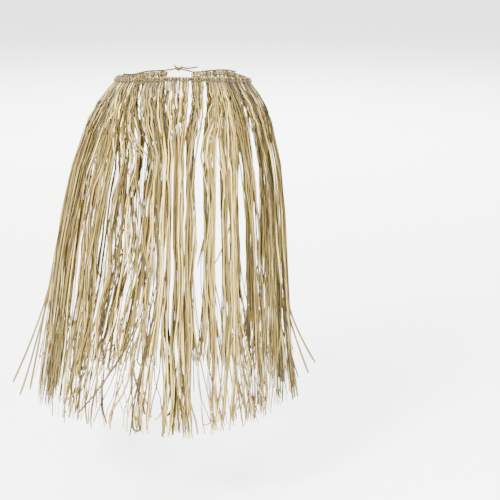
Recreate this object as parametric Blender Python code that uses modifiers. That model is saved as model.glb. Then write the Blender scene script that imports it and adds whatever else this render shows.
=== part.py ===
"""Raffia grass skirt in its worn form, hollow and open at the waist and the hem.

Metres, +Z up, the front faces -Y. The origin is the middle of the waist opening, level with the
waist cord at the front and the back. A "turn" is an angle about +Z in degrees, 0 at the front and
90 at +X. A "drop" is a distance down from the waist cord.

A plaited cord, open at the back, runs round the waist. Hanks of raffia are folded over it, so that
each has strands outside the cord and inside it, and a twine holds the folds together just under the
cord, outside and inside. A rope lies along the folds on each side of the back, with its cut end at
the side, and goes on as a tie. The two ties are knotted over the gap at the back.
"""

import math
import random

import bmesh
import bpy
import numpy as np
from mathutils import Vector

# The waist
SIDE_DROOP = 0.010  # the cord hangs this much lower at the hips than at the front
BACK_DROOP = 0.009  # and this much lower at the back
DROOP_DROPS = (0.020, 0.160)  # the back's droop fades between these drops

# Where the cord hangs unevenly round the back
SAGS = (
    {"turn": 98.0, "reach": 30, "depth": 0.0045},
    {"turn": 138.0, "reach": 22, "depth": -0.0035},
    {"turn": 169.0, "reach": 16, "depth": 0.0042},
    {"turn": 232.0, "reach": 22, "depth": 0.0052},
)
BACK_GAP = (172.5, 194.0)  # turns between the two ends of the cord
FIT_GAP = 0.0003  # between pieces that touch

# The cord and the twine
CORD_RADIUS = 0.0028
CORD_GROOVE = 0.0006  # depth of the grooves between the plaits
CORD_PLAITS = 3
CORD_PITCH = 0.050  # length of one turn of the plaits
CORD_POINTS = 90
TWINE_RADIUS = 0.0015
TWINE_DROP = 0.0040
TWINE_POINTS = 56

# The hanks: each is folded over the cord, and its strands hang from both ends of the fold
HANK_PITCH = 9.3  # degrees of turn, nearly
FRONT_GAPS = ((-40.5, -33.5), (15.4, 21.4))  # turns where no hank is tied
FOLD_WALL = 0.0014
FOLD_DROP = 0.017
FOLD_SHARE = 0.88  # of the pitch, so that the cord shows between the folds
FOLD_ARCS = 4  # straight pieces over the top of the cord
FOLD_SEGMENTS = 2  # along the cord
LAYER_OFFSET = CORD_RADIUS + FIT_GAP + FOLD_WALL / 2  # from the cord's middle to a layer
HEM_LAYER_OFFSET = 0.008

# Where each strand leaves its fold, as a share of the fold's width, and the lock that it joins
LOCKS = (-0.25, 0.25)
STRANDS = (
    {"side": 1, "lock": 0, "place": -0.40},
    {"side": 1, "lock": 0, "place": -0.14},
    {"side": 1, "lock": 1, "place": 0.14},
    {"side": 1, "lock": 1, "place": 0.40},
    {"side": -1, "lock": 0, "place": -0.34},
    {"side": -1, "lock": 1, "place": 0.12},
    {"side": -1, "lock": 1, "place": 0.38},
)
LOCK_SHARE = 0.62  # how far apart a lock's strands stay, of what they are at the fold
LOCK_DROPS = (0.03, 0.13, 0.55, 0.77)  # between the middle two they are closest

# One strand: a thin three-sided lock that narrows to its tip
STRAND_DROPS = (0.012, 0.027, 0.068, 0.140, 0.290, 0.530)  # its tip follows
STRAND_LENGTH = 0.782
LENGTH_SPREAD = 0.065
STRAND_WANDER = 0.045  # sideways, as a share of the fold's width
DROP_WANDER = 0.09  # how far a section may lie from its drop, as a share of it
STRAND_SIZES = (
    {"drop": 0.012, "width": 0.0033, "thickness": 0.0010},  # inside the fold's wall
    {"drop": 0.068, "width": 0.0033, "thickness": 0.0022},
    {"drop": 0.140, "width": 0.0043, "thickness": 0.0022},
    {"drop": 0.660, "width": 0.0034, "thickness": 0.0022},
)
TIP_SIZE = {"width": 0.0012, "thickness": 0.0009}
SHORT_TURNS = (-52.0, -40.5)  # some strands end high up in this stretch
SHORT_DROP = 0.165

# How far the grass reaches to each side, at a drop
PROFILE = (
    {"drop": 0.000, "left": 0.150, "right": 0.150, "front": 0.115, "back": 0.115},
    {"drop": 0.019, "left": 0.150, "right": 0.150, "front": 0.115, "back": 0.115},
    {"drop": 0.055, "left": 0.185, "right": 0.177, "front": 0.135, "back": 0.138},
    {"drop": 0.100, "left": 0.210, "right": 0.193, "front": 0.152, "back": 0.157},
    {"drop": 0.200, "left": 0.246, "right": 0.215, "front": 0.172, "back": 0.180},
    {"drop": 0.300, "left": 0.269, "right": 0.225, "front": 0.183, "back": 0.191},
    {"drop": 0.400, "left": 0.287, "right": 0.231, "front": 0.190, "back": 0.198},
    {"drop": 0.550, "left": 0.309, "right": 0.240, "front": 0.198, "back": 0.205},
    {"drop": 0.700, "left": 0.331, "right": 0.251, "front": 0.205, "back": 0.211},
    {"drop": 0.820, "left": 0.348, "right": 0.260, "front": 0.211, "back": 0.216},
)

# Where the grass parts, at the front and, as far round from the middle, at the back. Strands within
# the reach of a parting are pushed aside to leave it half as wide as it says at each of the drops. A
# minus closes a place where no hank is tied. All in degrees of turn.
PARTING_DROPS = (0.02, 0.06, 0.16, 0.42, 0.74)
PARTINGS = (
    {"on": "both", "turn": -62.0, "reach": 8, "top": 0.0, "hip": 0.0, "knee": 0.4, "hem": 2.6},
    {"on": "front", "turn": -50.2, "reach": 4, "top": 0.0, "hip": 0.3, "knee": 0.6, "hem": 0.6},
    {"on": "back", "turn": -57.0, "reach": 4, "top": 0.0, "hip": 0.4, "knee": 1.2, "hem": 1.0},
    {"on": "back", "turn": -51.0, "reach": 4, "top": 0.0, "hip": 0.3, "knee": 1.0, "hem": 0.8},
    {"on": "front", "turn": -37.0, "reach": 7, "top": -1.0, "hip": -2.6, "knee": -2.8, "hem": -2.8},
    {"on": "back", "turn": -38.0, "reach": 8, "top": 1.0, "hip": 1.8, "knee": 1.6, "hem": 0.6},
    {"on": "both", "turn": -8.0, "reach": 5, "top": 0.0, "hip": 0.3, "knee": 1.2, "hem": 1.0},
    {"on": "front", "turn": 5.6, "reach": 5, "top": 1.0, "hip": 1.0, "knee": 0.0, "hem": 0.0},
    {"on": "back", "turn": 7.0, "reach": 5, "top": 1.0, "hip": 1.2, "knee": 0.6, "hem": 0.4},
    {"on": "front", "turn": 18.4, "reach": 9, "top": -0.6, "hip": -2.4, "knee": -0.9, "hem": -1.6},
    {"on": "back", "turn": 19.0, "reach": 8, "top": 1.8, "hip": 3.0, "knee": 3.4, "hem": 2.4},
    {"on": "front", "turn": 26.3, "reach": 4, "top": 0.0, "hip": 0.3, "knee": 0.9, "hem": 0.8},
    {"on": "back", "turn": 29.0, "reach": 5, "top": 0.0, "hip": 0.6, "knee": 1.4, "hem": 1.0},
    {"on": "front", "turn": 30.8, "reach": 4, "top": 0.0, "hip": 0.2, "knee": 0.8, "hem": 0.6},
    {"on": "front", "turn": 35.6, "reach": 4, "top": 0.0, "hip": 0.4, "knee": 0.9, "hem": 0.5},
    {"on": "back", "turn": 33.5, "reach": 3, "top": 0.0, "hip": 0.0, "knee": 0.8, "hem": 0.6},
    {"on": "back", "turn": 42.0, "reach": 4, "top": 0.0, "hip": 0.3, "knee": 1.2, "hem": 0.8},
    {"on": "front", "turn": 49.7, "reach": 6, "top": 0.6, "hip": 1.4, "knee": 0.3, "hem": 0.3},
    {"on": "back", "turn": 56.0, "reach": 6, "top": 0.8, "hip": 1.8, "knee": 0.5, "hem": 0.3},
)

# Where the grass leans: strands within the reach move to one side together
SWAYS = (
    {"turn": 18.4, "left": 26, "right": 22, "top": -1.5, "hip": -9.0, "knee": -9.5, "hem": -10.0},
    {"turn": -37.0, "left": 34, "right": 40, "top": 4.0, "hip": 16.0, "knee": 16.0, "hem": 9.0},
    {"turn": -56.0, "left": 26, "right": 20, "top": 5.0, "hip": 1.5, "knee": 0.0, "hem": 0.0},
)

# Loose strands that stand away from the mass: each is the outer strand nearest to its turn
STRAYS = (
    {"turn": -101, "leave": 0.30, "out": 0.066, "length": 0.750},
    {"turn": -96, "leave": 0.36, "out": 0.052, "length": 0.785},
    {"turn": -88, "leave": 0.42, "out": 0.030, "length": 0.760},
    {"turn": 84, "leave": 0.48, "out": 0.034, "length": 0.785},
    {"turn": 93, "leave": 0.52, "out": 0.064, "length": 0.700},
    {"turn": 101, "leave": 0.50, "out": 0.048, "length": 0.725},
)

# The ropes along the top of the back, and the ties that they go on as. Each tie runs to the knot, and
# leaves it as a free end.
TIE_RADIUS = 0.0020
TIE_STEP = 0.004  # between the points of a tube
ROPE_POINTS = 30
ROPE_TURNS = {"back_rope_left": (246.0, 196.3), "back_rope_right": (126.0, 171.2)}
KNOT_AT = (-0.0107, 0.1166, 0.0003)
KNOT_HALF_SIZES = (0.0095, 0.0042, 0.0050)
TIE_ROUTES = {
    "tie_left": (
        (-0.0412, 0.1109, -0.0022),
        (-0.0370, 0.1120, -0.0020),
        (-0.0310, 0.1138, -0.0016),
        (-0.0260, 0.1152, -0.0009),
        (-0.0208, 0.1163, 0.0001),
    ),
    "tie_left_end": (
        (-0.0168, 0.1168, 0.0048),
        (-0.0176, 0.1170, 0.0058),
        (-0.0190, 0.1172, 0.0070),
    ),
    "tie_right": (
        (0.0220, 0.1138, -0.0060),
        (0.0185, 0.1144, -0.0056),
        (0.0130, 0.1152, -0.0043),
        (0.0070, 0.1158, -0.0028),
        (-0.0006, 0.1164, -0.0010),
    ),
    "tie_right_end": (
        (-0.0048, 0.1195, 0.0032),
        (-0.0035, 0.1210, 0.0040),
        (0.0000, 0.1220, 0.0034),
        (0.0060, 0.1218, 0.0016),
        (0.0130, 0.1210, 0.0010),
        (0.0220, 0.1198, 0.0022),
        (0.0320, 0.1184, 0.0040),
    ),
}

RAFFIA = {"colour": (0.66, 0.50, 0.28, 1.0), "roughness": 0.62, "metallic": 0.0}
PLAIT = {"colour": (0.58, 0.44, 0.25, 1.0), "roughness": 0.68, "metallic": 0.0}
TWINE = {"colour": (0.50, 0.38, 0.21, 1.0), "roughness": 0.70, "metallic": 0.0}
TIE = {"colour": (0.62, 0.49, 0.30, 1.0), "roughness": 0.66, "metallic": 0.0}


def clear_scene():
    for obj in list(bpy.data.objects):
        bpy.data.objects.remove(obj, do_unlink=True)


def new_collection(name, parent):
    collection = bpy.data.collections.new(name)
    parent.children.link(collection)
    return collection


def material(name, look):
    mat = bpy.data.materials.new(name)
    mat.use_nodes = True
    shader = mat.node_tree.nodes["Principled BSDF"]
    shader.inputs["Base Color"].default_value = look["colour"]
    shader.inputs["Roughness"].default_value = look["roughness"]
    shader.inputs["Metallic"].default_value = look["metallic"]
    return mat


# The form that the grass hangs on


def column(name):
    return [row[name] for row in PROFILE]


def reach(side, drop):
    return float(np.interp(drop, column("drop"), column(side)))


def droop(turn, drop):
    """How far below the level of the front the grass hangs at a turn."""
    across, along = math.sin(math.radians(turn)), math.cos(math.radians(turn))
    behind = BACK_DROOP * min(along, 0) ** 2
    for sag in SAGS:
        aside = min(abs(turn % 360 - sag["turn"]) / sag["reach"], 1.0)
        behind += sag["depth"] * math.cos(aside * math.pi / 2) ** 2
    return SIDE_DROOP * across**2 + behind * float(np.interp(drop, DROOP_DROPS, (1.0, 0.0)))


def on_form(turn, drop, outward=0.0):
    """The point of the skirt at a turn and a drop, moved outward from its surface."""
    across, along = math.sin(math.radians(turn)), math.cos(math.radians(turn))
    half_width = reach("right" if across >= 0 else "left", drop)
    half_depth = reach("front" if along >= 0 else "back", drop)
    out = Vector((across / half_width, -along / half_depth, 0)).normalized()
    level = -droop(turn, drop) - drop
    return Vector((half_width * across, -half_depth * along, level)) + outward * out


def width_at(row, drop):
    """A parting's or a sway's value at a drop."""
    return float(np.interp(drop, PARTING_DROPS, (0.0, row["top"], row["hip"], row["knee"], row["hem"])))


def parted(turn, drop):
    """The turn of a strand at a drop, once the partings and sways have moved it. Order is kept."""
    behind = math.cos(math.radians(turn)) < 0
    place = 180 - turn % 360 if behind else (turn + 180) % 360 - 180  # from the middle of its side
    for parting in PARTINGS:
        if parting["on"] == ("front" if behind else "back"):
            continue
        gap = width_at(parting, drop)
        aside = place - parting["turn"]
        if abs(aside) < parting["reach"]:
            pushed = gap + abs(aside) * (1 - gap / parting["reach"])
            place = parting["turn"] + math.copysign(pushed, aside)
    leant = place
    for sway in SWAYS:
        reach = sway["left"] if place < sway["turn"] else sway["right"]
        aside = min(abs(place - sway["turn"]) / reach, 1.0)
        leant += width_at(sway, drop) * math.cos(aside * math.pi / 2) ** 2
    return 180 - leant if behind else leant


def hank_spans():
    """The middle turn and the pitch of each hank, between the gaps, from the back round the front."""
    ends = [BACK_GAP[1] - 360, *(turn for gap in FRONT_GAPS for turn in gap), BACK_GAP[0]]
    spans = []
    for first, last in zip(ends[::2], ends[1::2]):
        count = round((last - first) / HANK_PITCH)
        pitch = (last - first) / count
        spans += [(first + (k + 0.5) * pitch, pitch) for k in range(count)]
    return spans


# The strands


def lock_share(drop):
    return float(np.interp(drop, LOCK_DROPS, (1.0, LOCK_SHARE, LOCK_SHARE, 1.0)))


def strand_path(turn, width, strand, length, stray, dice):
    """The turn, drop and offset of a strand's middle at each of its sections, down to the tip."""
    points = []
    middle = LOCKS[strand["lock"]]
    drops = [*STRAND_DROPS[:2], *(d * (1 + DROP_WANDER * dice.uniform(-1, 1)) for d in STRAND_DROPS[2:])]
    for drop in (*(d for d in drops if d < length - 0.02), length):
        place = middle + (strand["place"] - middle) * lock_share(drop)
        wander = STRAND_WANDER * dice.uniform(-1, 1) * min(drop / STRAND_DROPS[3], 1) ** 2
        offset = strand["side"] * float(
            np.interp(drop, (FOLD_DROP, STRAND_DROPS[-1]), (LAYER_OFFSET, HEM_LAYER_OFFSET))
        )
        if stray and drop > stray["leave"]:
            offset += stray["out"] * ((drop - stray["leave"]) / (length - stray["leave"])) ** 1.5
        points.append((parted(turn + width * (place + wander), drop), drop, offset))
    return points


def strand_section(turn, drop, offset, tip):
    """Three corners: two inside, side by side, and a ridge outside."""
    drops = [row["drop"] for row in STRAND_SIZES]
    width, thickness = (
        TIP_SIZE[size] if tip else float(np.interp(drop, drops, [row[size] for row in STRAND_SIZES]))
        for size in ("width", "thickness")
    )
    inside = on_form(turn, drop, offset - thickness / 2)
    outside = on_form(turn, drop, offset + thickness / 2)
    aside = (outside - inside).cross(Vector((0, 0, 1))).normalized() * width / 2
    return [inside - aside, inside + aside, outside]


def add_strand(mesh, path):
    """A closed three-sided prism, drawn down from the fold to the tip by extruding its lower cap."""
    sections = [strand_section(*point, point is path[-1]) for point in path]
    prism = bmesh.ops.create_cone(mesh, cap_ends=True, segments=3, radius1=1, radius2=1, depth=1)
    corners = [v for v in prism["verts"] if v.co.z < 0]
    for corner, low, high in zip(corners, sections[1], sections[0]):
        above = next(e.other_vert(corner) for e in corner.link_edges if e.other_vert(corner) not in corners)
        corner.co, above.co = low, high
    cap = next(f for f in mesh.faces if set(f.verts) == set(corners))
    for before, section in zip(sections[1:], sections[2:]):
        cap = bmesh.ops.extrude_discrete_faces(mesh, faces=[cap])["faces"][0]
        for corner in cap.verts:
            corner.co = section[min(range(3), key=lambda k: (corner.co - before[k]).length)]


def hank_strands(name, turn, width, dice, collection):
    """The strands of one hank as one object, which only serves the union with its fold."""
    mesh = bmesh.new()
    for strand in STRANDS:
        at = turn + width * strand["place"]
        outer = strand["side"] > 0
        length = STRAND_LENGTH - LENGTH_SPREAD * dice.random()
        if outer and SHORT_TURNS[0] < at < SHORT_TURNS[1] and strand["place"] > 0:
            length = SHORT_DROP
        stray = next((s for s in STRAYS if outer and abs(s["turn"] - at) < width / 8), None)
        if stray:
            length = stray["length"]
        add_strand(mesh, strand_path(turn, width, strand, length, stray, dice))
    bmesh.ops.recalc_face_normals(mesh, faces=mesh.faces)
    data = bpy.data.meshes.new(name)
    mesh.to_mesh(data)
    mesh.free()
    strands = bpy.data.objects.new(name, data)
    strands.hide_render = True
    strands.display_type = "WIRE"
    collection.objects.link(strands)
    return strands


def fold_profile():
    """Drop and offset of the middle of the raffia that goes over the cord, outside to inside."""
    over = [
        (-LAYER_OFFSET * math.sin(math.pi * k / FOLD_ARCS), LAYER_OFFSET * math.cos(math.pi * k / FOLD_ARCS))
        for k in range(FOLD_ARCS + 1)
    ]
    return [(FOLD_DROP, LAYER_OFFSET), *over, (FOLD_DROP, -LAYER_OFFSET)]


def hank(name, turn, width, dice, collections, look):
    """One hank: the raffia folded over the cord, and its strands fused to the two ends of the fold."""
    profile = fold_profile()
    sheet = bmesh.new()
    bmesh.ops.create_grid(sheet, x_segments=len(profile) - 1, y_segments=FOLD_SEGMENTS, size=0.5)
    for vert in sheet.verts:
        row = round((vert.co.x + 0.5) * (len(profile) - 1))
        drop, offset = profile[row]
        vert.co = on_form(turn + width * vert.co.y, drop, offset)
    bmesh.ops.recalc_face_normals(sheet, faces=sheet.faces)
    data = bpy.data.meshes.new(name)
    sheet.to_mesh(data)
    sheet.free()
    fold = bpy.data.objects.new(name, data)
    collections["skirt"].objects.link(fold)
    data.materials.append(look)
    wall = fold.modifiers.new("wall", "SOLIDIFY")
    wall.thickness = FOLD_WALL
    wall.offset = 0
    union = fold.modifiers.new("strands", "BOOLEAN")
    union.operation = "UNION"
    union.object = hank_strands(name + "_strands", turn, width, dice, collections["cutters"])
    return fold


# The cord, the twine and the ties


def lobed_profile(name, radius, groove, lobes, collection):
    """A closed outline with a ridge for each plait, as the bevel of a cord."""
    outline = bpy.data.curves.new(name, "CURVE")
    outline.dimensions = "2D"
    spline = outline.splines.new("POLY")
    spline.points.add(2 * lobes - 1)
    for k, point in enumerate(spline.points):
        lobe = radius - groove * (k % 2)
        angle = -math.pi * k / lobes
        point.co = (lobe * math.cos(angle), lobe * math.sin(angle), 0, 1)
    spline.use_cyclic_u = True
    guide = bpy.data.objects.new(name, outline)
    guide.hide_render = True
    collection.objects.link(guide)
    return guide


def round_cord(name, points, radius, sides, look, collection):
    """A plain tube along the points, with an even number of sides."""
    wire = bpy.data.curves.new(name, "CURVE")
    wire.dimensions = "3D"
    wire.bevel_depth = radius
    wire.bevel_resolution = sides // 2 - 2
    wire.use_fill_caps = True
    spline = wire.splines.new("POLY")
    spline.points.add(len(points) - 1)
    for point, place in zip(spline.points, points):
        point.co = (*place, 1)
    cord = bpy.data.objects.new(name, wire)
    wire.materials.append(look)
    collection.objects.link(cord)
    return cord


def ring_points(count, drop, outward, first, last):
    """Points along the skirt at one drop, from one turn to another."""
    return [on_form(first + (last - first) * k / (count - 1), drop, outward) for k in range(count)]


def waist_cord(collections, look):
    points = ring_points(CORD_POINTS, 0.0, 0.0, BACK_GAP[1] - 360, BACK_GAP[0])
    cord = round_cord("waist_cord", points, CORD_RADIUS, 4, look, collections["skirt"])
    cord.data.bevel_mode = "OBJECT"
    cord.data.bevel_object = lobed_profile(
        "cord_profile", CORD_RADIUS, CORD_GROOVE, CORD_PLAITS, collections["cutters"]
    )
    length = 0.0
    spline = cord.data.splines[0]
    for k, point in enumerate(spline.points):
        if k:
            length += (points[k] - points[k - 1]).length
        point.tilt = math.tau * length / CORD_PITCH
    return cord


def twine(name, side, collections, look):
    offset = side * (LAYER_OFFSET + FOLD_WALL / 2 + FIT_GAP + TWINE_RADIUS)
    points = ring_points(TWINE_POINTS, TWINE_DROP, offset, BACK_GAP[1] - 359.5, BACK_GAP[0] - 0.5)
    return round_cord(name, points, TWINE_RADIUS, 4, look, collections["skirt"])


def smooth_route(route, step):
    """Points about a step apart on a smooth curve through a route."""
    stops = [Vector(p) for p in route]
    stops = [2 * stops[0] - stops[1], *stops, 2 * stops[-1] - stops[-2]]
    points = []
    for before, start, end, after in zip(stops, stops[1:], stops[2:], stops[3:]):
        count = max(round((end - start).length / step), 1)
        for k in range(count):
            t = k / count
            points.append(
                0.5
                * (
                    2 * start
                    + (end - before) * t
                    + (2 * before - 5 * start + 4 * end - after) * t**2
                    + (3 * start - before - 3 * end + after) * t**3
                )
            )
    return [*points, stops[-2]]


def back_ropes(collections, look):
    """A rope along the top of the folds on each side of the back."""
    height = LAYER_OFFSET + FOLD_WALL / 2 + FIT_GAP + TIE_RADIUS
    for name, (first, last) in ROPE_TURNS.items():
        points = ring_points(ROPE_POINTS, -height, 0.0, first, last)
        round_cord(name, points, TIE_RADIUS, 6, look, collections["skirt"])


def ties(collections, look):
    """The two ties, in two stretches each, and the knot between them."""
    for name, route in TIE_ROUTES.items():
        round_cord(name, smooth_route(route, TIE_STEP), TIE_RADIUS, 8, look, collections["skirt"])
    ball = bmesh.new()
    bmesh.ops.create_uvsphere(ball, u_segments=12, v_segments=8, radius=1)
    bmesh.ops.scale(ball, vec=KNOT_HALF_SIZES, verts=ball.verts)
    data = bpy.data.meshes.new("tie_knot")
    ball.to_mesh(data)
    ball.free()
    data.shade_smooth()
    knot = bpy.data.objects.new("tie_knot", data)
    knot.location = KNOT_AT
    data.materials.append(look)
    collections["skirt"].objects.link(knot)


def main():
    clear_scene()
    scene = bpy.context.scene.collection
    collections = {"skirt": new_collection("grass_skirt", scene), "cutters": new_collection("cutters", scene)}
    dice = random.Random(7)
    raffia = material("raffia", RAFFIA)
    waist_cord(collections, material("plait", PLAIT))
    twine_look = material("twine", TWINE)
    twine("twine_outer", 1, collections, twine_look)
    twine("twine_inner", -1, collections, twine_look)
    for number, (turn, pitch) in enumerate(hank_spans(), start=1):
        hank(f"hank_{number:02d}", turn, pitch * FOLD_SHARE, dice, collections, raffia)
    tie_look = material("tie", TIE)
    back_ropes(collections, tie_look)
    ties(collections, tie_look)


main()
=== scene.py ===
import math
import random

import bpy
import numpy as np
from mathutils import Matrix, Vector


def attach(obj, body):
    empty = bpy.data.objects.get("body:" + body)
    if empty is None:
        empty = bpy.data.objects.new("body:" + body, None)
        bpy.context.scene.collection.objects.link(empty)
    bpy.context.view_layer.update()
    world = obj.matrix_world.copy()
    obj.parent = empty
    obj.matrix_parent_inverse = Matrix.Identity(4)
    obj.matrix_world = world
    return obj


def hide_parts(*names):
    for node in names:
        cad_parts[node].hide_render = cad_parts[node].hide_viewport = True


# Metres, +Z up, the front faces -Y. A turn is an angle about +Z in degrees, 0 at the front and 90
# at +X, on an ellipse round the middle. A drop is a distance down from the waist cord.

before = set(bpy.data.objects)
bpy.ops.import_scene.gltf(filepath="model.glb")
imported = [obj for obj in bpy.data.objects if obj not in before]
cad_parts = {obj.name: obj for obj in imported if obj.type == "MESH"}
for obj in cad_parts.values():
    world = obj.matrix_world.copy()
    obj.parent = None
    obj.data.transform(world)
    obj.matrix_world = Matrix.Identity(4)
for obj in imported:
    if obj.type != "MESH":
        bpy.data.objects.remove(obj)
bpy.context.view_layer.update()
dice = random.Random(11)
print("frame loaded,", len(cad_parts), "nodes")


# Small helpers


def deselectAll():
    if bpy.context.mode != "OBJECT":
        bpy.ops.object.mode_set(mode="OBJECT")
    bpy.ops.object.select_all(action="DESELECT")


def choose(obj):
    deselectAll()
    obj.select_set(True)
    bpy.context.view_layer.objects.active = obj


def joined(parts, name):
    choose(parts[0])
    for part in parts:
        part.select_set(True)
    if len(parts) > 1:
        bpy.ops.object.join()
    piece = bpy.context.object
    piece.name = piece.data.name = name
    return piece


def closeUp(piece, sharp):
    choose(piece)
    bpy.ops.object.mode_set(mode="EDIT")
    bpy.ops.mesh.select_all(action="SELECT")
    bpy.ops.mesh.remove_doubles(threshold=0.000003)
    bpy.ops.mesh.select_all(action="SELECT")
    bpy.ops.mesh.fill_holes(sides=0)
    bpy.ops.mesh.select_all(action="SELECT")
    bpy.ops.mesh.normals_make_consistent(inside=False)
    bpy.ops.object.mode_set(mode="OBJECT")
    bpy.ops.object.shade_smooth_by_angle(angle=math.radians(sharp))


def ease(t):
    t = min(max(t, 0.0), 1.0)
    return t * t * (3 - 2 * t)


def between(drop, drops, values):
    for start, end, low, high in zip(drops, drops[1:], values, values[1:]):
        if drop <= end:
            return low + (high - low) * max(drop - start, 0.0) / (end - start)
    return values[-1]


# The camera, the floor and the lights

view = {"place": (0.0, -2.4, 0.227), "tilt": 77.0, "lens": 76.03, "shift": (0.134, -0.0712)}
bpy.ops.object.camera_add(location=view["place"], rotation=(math.radians(view["tilt"]), 0, 0))
camera = bpy.context.object
camera.data.lens = view["lens"]
camera.data.shift_x, camera.data.shift_y = view["shift"]
bpy.context.scene.camera = camera

studio = {
    "floorLevel": -1.0,
    "floorSize": 160.0,
    "floorTone": (0.94, 0.935, 0.92, 1.0),
    "floorRoughness": 0.9,
    "skyTone": (1.0, 0.995, 0.985, 1.0),
    "skyPower": 3.0,
    "lights": (
        {"name": "keyLight", "place": (-1.7, -2.3, 1.9), "aim": (0, 0, -0.35), "size": 0.9, "power": 560},
        {"name": "fillLight", "place": (2.2, -1.9, 0.6), "aim": (0, 0, -0.35), "size": 1.6, "power": 240},
        {
            "name": "floorLight", "place": (0.3, 6.0, 4.0), "aim": (0.3, 7.0, -1.0), "size": 7.0,
            "power": 2200,
        },
    ),
}
bpy.ops.mesh.primitive_plane_add(size=studio["floorSize"], location=(0, 0, studio["floorLevel"]))
floor = bpy.context.object
floor.name = "floor"
floorLook = bpy.data.materials.new("paleFloor")
floorLook.use_nodes = True
floorShader = floorLook.node_tree.nodes["Principled BSDF"]
floorShader.inputs["Base Color"].default_value = studio["floorTone"]
floorShader.inputs["Roughness"].default_value = studio["floorRoughness"]
floor.data.materials.append(floorLook)

sky = bpy.data.worlds.new("softSky")
sky.use_nodes = True
sky.node_tree.nodes["Background"].inputs["Color"].default_value = studio["skyTone"]
sky.node_tree.nodes["Background"].inputs["Strength"].default_value = studio["skyPower"]
bpy.context.scene.world = sky
for row in studio["lights"]:
    bpy.ops.object.light_add(type="AREA", location=row["place"])
    light = bpy.context.object
    light.name = row["name"]
    light.data.size = row["size"]
    light.data.energy = row["power"]
    aim = Vector(row["aim"]) - light.location
    light.rotation_euler = aim.to_track_quat("-Z", "Y").to_euler()
print("camera, floor and lights placed")


# The form that the grass hangs on

form = {
    "sideDroop": 0.010,
    "backDroop": 0.009,
    "droopDrops": (0.020, 0.160),  # the back's droop fades between these
    # the turn, the reach and the depth of each sag round the back
    "sags": ((98.0, 30, 0.0045), (138.0, 22, -0.0035), (169.0, 16, 0.0042), (232.0, 22, 0.0052)),
    "backGap": (172.5, 194.0),  # the two ends of the cord
    "frontGaps": ((-40.5, -33.5), (15.4, 21.4)),  # where no hank is tied
    "hankPitch": 9.3,
    "foldShare": 0.88,
    # half widths and half depths at each drop
    "drop": (0.0, 0.006, 0.019, 0.055, 0.100, 0.200, 0.300, 0.400, 0.550, 0.700, 0.820),
    "left": (0.150, 0.150, 0.163, 0.185, 0.210, 0.246, 0.269, 0.287, 0.309, 0.331, 0.348),
    "right": (0.150, 0.150, 0.159, 0.177, 0.193, 0.215, 0.225, 0.231, 0.240, 0.251, 0.260),
    "front": (0.115, 0.115, 0.117, 0.135, 0.152, 0.172, 0.183, 0.190, 0.198, 0.205, 0.211),
    "back": (0.115, 0.115, 0.117, 0.138, 0.157, 0.180, 0.191, 0.198, 0.205, 0.211, 0.216),
}

# Where the grass parts and leans. Back rows have their turns mirrored to the front, so that a gap at
# the front and one behind it have turns that are alike.
parting = {
    "drops": (0.012, 0.03, 0.06, 0.16, 0.30, 0.42, 0.74),
    "blur": 0.010,  # how far up and down the widths and the leans are averaged
    "edge": 0.8,  # degrees over which strips bunch at the edge of a gap
    # the side, the middle, the reach and half the width at each drop; a minus lets strips cross
    "rows": (
        ("both", -62.0, 8, (0, 0.0, 0.0, 0.0, 0.2, 0.6, 2.6)),
        ("front", -50.2, 4, (0, 0.0, 0.0, 0.3, 1.2, 0.9, 0.6)),
        ("back", -57.0, 4, (0, 0.0, 0.0, 0.4, 1.4, 1.2, 1.0)),
        ("back", -51.0, 4, (0, 0.0, 0.0, 0.3, 1.3, 1.0, 0.8)),
        ("front", -37.0, 9, (0, 0.2, 0.0, -3.0, -3.8, -5.2, -5.4)),
        ("back", -38.0, 8, (0, 1.6, 2.2, 1.5, 0.9, 0.4, 0.0)),
        ("both", -8.0, 5, (0, 0.0, 0.0, 0.5, 1.8, 1.5, 1.3)),
        ("front", 5.6, 5, (0, 1.2, 1.9, 1.5, 0.3, 0.0, 0.0)),
        ("back", 7.0, 5, (0, 1.0, 1.9, 1.9, 1.2, 0.8, 0.6)),
        ("front", 18.4, 9, (0, -0.2, -0.4, -1.6, 0.0, 1.2, 1.2)),
        ("back", 19.0, 8, (0, 1.6, 2.2, 3.0, 3.3, 3.5, 3.5)),
        ("front", 26.3, 4, (0, 0.0, 0.0, 0.4, 1.5, 1.8, 1.8)),
        ("back", 29.0, 5, (0, 0.0, 0.0, 0.7, 1.9, 2.2, 2.2)),
        ("front", 30.8, 4, (0, 0.0, 0.0, 0.4, 2.0, 1.7, 0.9)),
        ("front", 36.2, 6, (0, 0.0, 0.0, 1.2, 3.8, 3.4, 2.2)),
        ("back", 33.0, 4, (0, 0.0, 0.0, 0.2, 2.2, 1.9, 0.9)),
        ("back", 40.4, 6, (0, 0.0, 0.0, 1.2, 4.2, 4.0, 2.8)),
        ("front", 49.7, 9, (0, 0.9, 3.0, 5.4, 4.0, 1.6, 0.4)),
        ("back", 55.4, 10, (0, 1.0, 3.4, 6.2, 4.6, 1.8, 0.4)),
    ),
    # the middle, how far the lean reaches on its left and on its right, and the leans
    "sways": (
        (18.4, 26, 22, (0, -0.4, -1.5, -9.0, -9.3, -9.5, -10.0)),
        (-37.0, 34, 40, (0, 1.2, 4.0, 16.0, 16.0, 16.0, 9.0)),
        (-56.0, 26, 20, (0, 2.0, 5.0, 1.5, 0.7, 0.0, 0.0)),
    ),
}


def droop(turn, drop):
    across, along = math.sin(math.radians(turn)), math.cos(math.radians(turn))
    behind = form["backDroop"] * min(along, 0) ** 2
    for middle, reach, depth in form["sags"]:
        aside = min(abs(turn % 360 - middle) / reach, 1.0)
        behind += depth * math.cos(aside * math.pi / 2) ** 2
    return form["sideDroop"] * across**2 + behind * between(drop, form["droopDrops"], (1.0, 0.0))


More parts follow.
